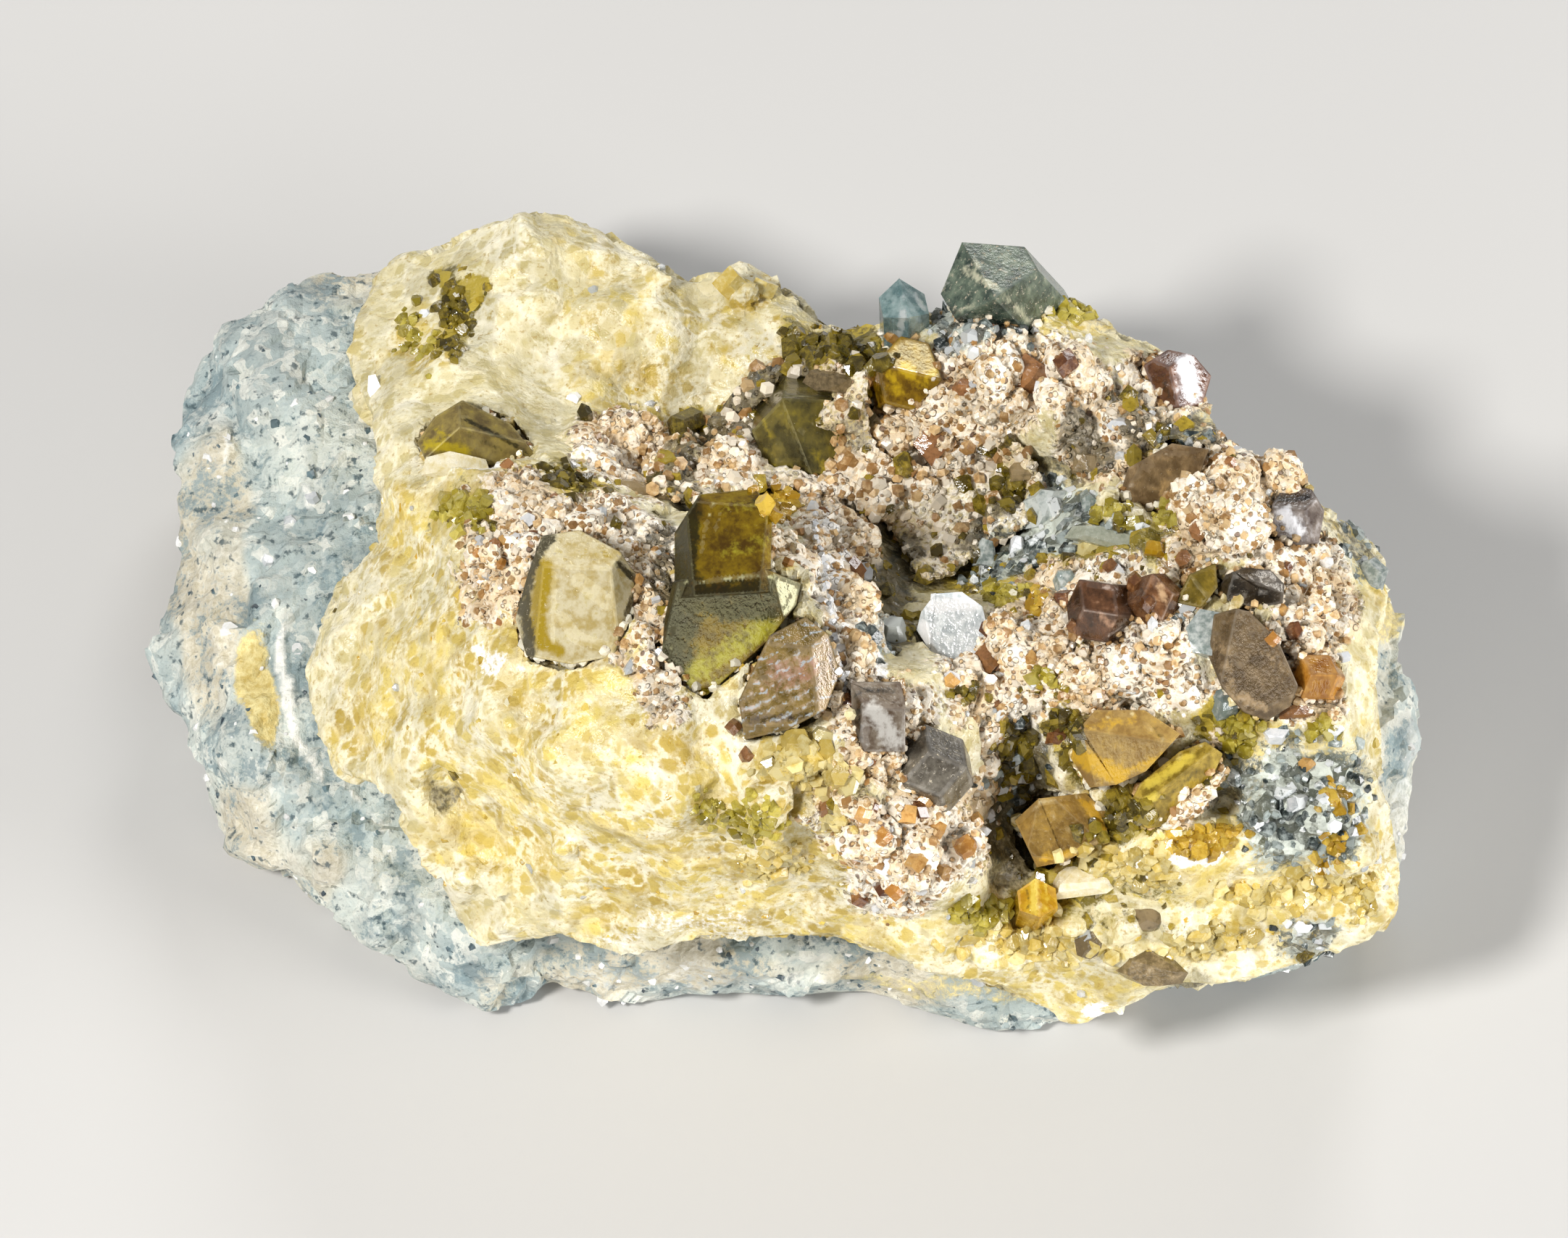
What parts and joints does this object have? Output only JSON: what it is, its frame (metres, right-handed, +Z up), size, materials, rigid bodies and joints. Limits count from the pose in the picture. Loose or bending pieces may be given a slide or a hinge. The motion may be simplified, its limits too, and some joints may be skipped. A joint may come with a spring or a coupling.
{
  "type": "epidote crystal cluster",
  "caption": "Broken hand specimen of pale host rock carrying domed yellow massive epidote, a ridge of olive epidote prisms, garnets and smoky crystals round a drusy hollow.",
  "frame": {"origin": "middle of the footprint, on the flat base that the specimen rests on", "axes": "+X along the longest side, +Y towards the back, +Z up; the display face leans back and faces -Y and +Z"},
  "size_m": [0.05, 0.0366, 0.0245],
  "materials": {
    "amber_crystal": "glassy crystal faces, olive to amber, fine striations along the prism",
    "amber_tablet": "glassy crystal faces, olive to amber, fine striations along the prism",
    "back_prism": "glassy crystal faces, olive to amber, fine striations along the prism",
    "brown_garnet": "glassy crystal faces, dark red-brown",
    "brown_tablet": "glassy crystal faces, olive to amber, fine striations along the prism",
    "clear_tip": "glassy, translucent blue-green",
    "corner_garnet": "glassy crystal faces, dark red-brown",
    "dark_tablet": "glassy smoky brown, fine striations",
    "epidote_mass": "granular, cream to yellow with white veins, satin where grains are broken",
    "golden_prism": "glassy crystal faces, olive to amber, fine striations along the prism",
    "green_peak": "glassy crystal faces, olive to amber, fine striations along the prism",
    "grey_garnet": "glassy crystal faces, dark red-brown",
    "hex_garnet": "glassy crystal faces, dark red-brown",
    "hexagonal_crystal": "glassy crystal faces, olive to amber, fine striations along the prism",
    "hollow_crust": "drusy, beige to brown, small glassy faces",
    "host_rock": "matt, granular broken stone, pale blue-grey with dark specks and cream patches",
    "leaf_crystal": "glassy crystal faces, olive to amber, fine striations along the prism",
    "olive_blade": "glassy crystal faces, olive to amber, fine striations along the prism",
    "orange_garnet": "glassy crystal faces, dark red-brown",
    "red_garnet": "glassy crystal faces, dark red-brown",
    "ridge_end_crystal": "glassy crystal faces, olive to amber, fine striations along the prism",
    "ridge_prism": "glassy crystal faces, olive to amber, fine striations along the prism",
    "rim_garnet": "glassy crystal faces, dark red-brown",
    "silver_plate": "bright glassy face, silver-white",
    "slab_crystal": "glassy smoky brown, fine striations",
    "smoky_tablet": "glassy smoky brown, fine striations",
    "striated_crystal": "glassy crystal faces, olive to amber, fine striations along the prism"
  },
  "bodies": {
    "root": {"amber_crystal": "amber_crystal", "amber_tablet": "amber_tablet", "back_prism": "back_prism", "brown_garnet": "brown_garnet", "brown_tablet": "brown_tablet", "clear_tip": "clear_tip", "corner_garnet": "corner_garnet", "dark_tablet": "dark_tablet", "epidote_mass": "epidote_mass", "golden_prism": "golden_prism", "green_peak": "green_peak", "grey_garnet": "grey_garnet", "hex_garnet": "hex_garnet", "hexagonal_crystal": "hexagonal_crystal", "hollow_crust": "hollow_crust", "host_rock": "host_rock", "leaf_crystal": "leaf_crystal", "olive_blade": "olive_blade", "orange_garnet": "orange_garnet", "red_garnet": "red_garnet", "ridge_end_crystal": "ridge_end_crystal", "ridge_prism": "ridge_prism", "rim_garnet": "rim_garnet", "silver_plate": "silver_plate", "slab_crystal": "slab_crystal", "smoky_tablet": "smoky_tablet", "striated_crystal": "striated_crystal"}
  },
  "joints": []
}
